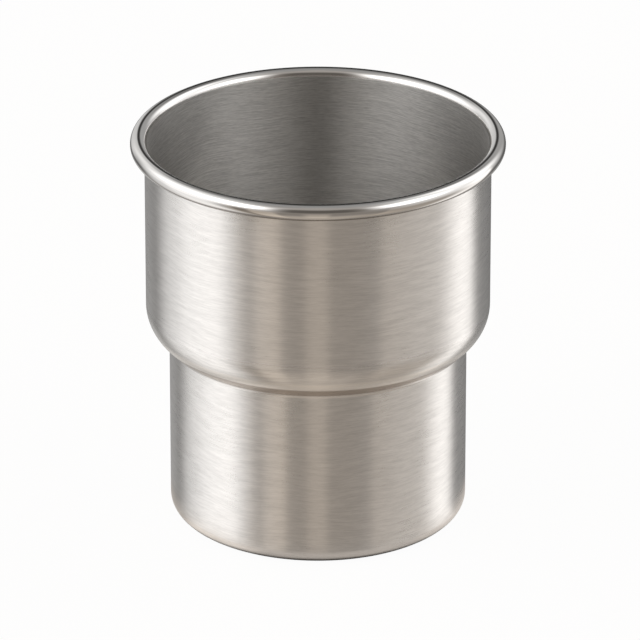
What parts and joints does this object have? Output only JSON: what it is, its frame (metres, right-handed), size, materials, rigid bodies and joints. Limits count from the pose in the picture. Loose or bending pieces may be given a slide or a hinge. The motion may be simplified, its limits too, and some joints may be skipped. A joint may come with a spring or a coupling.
{
  "type": "stepped metal cup",
  "caption": "Seamless drawn stainless cup with a curled bead rim, a wide upper body, a rounded shoulder and a narrower lower body.",
  "frame": {"origin": "centre of the base, in the plane of the ring that the cup stands on", "axes": "+Z along the cup's axis, from the base to the rim; +X and +Y are square to it"},
  "size_m": [0.0788, 0.0788, 0.0851],
  "materials": {
    "steel": "brushed round the walls, polished on the rolled rim"
  },
  "bodies": {
    "root": {"drawn_cup": "steel"}
  },
  "joints": []
}
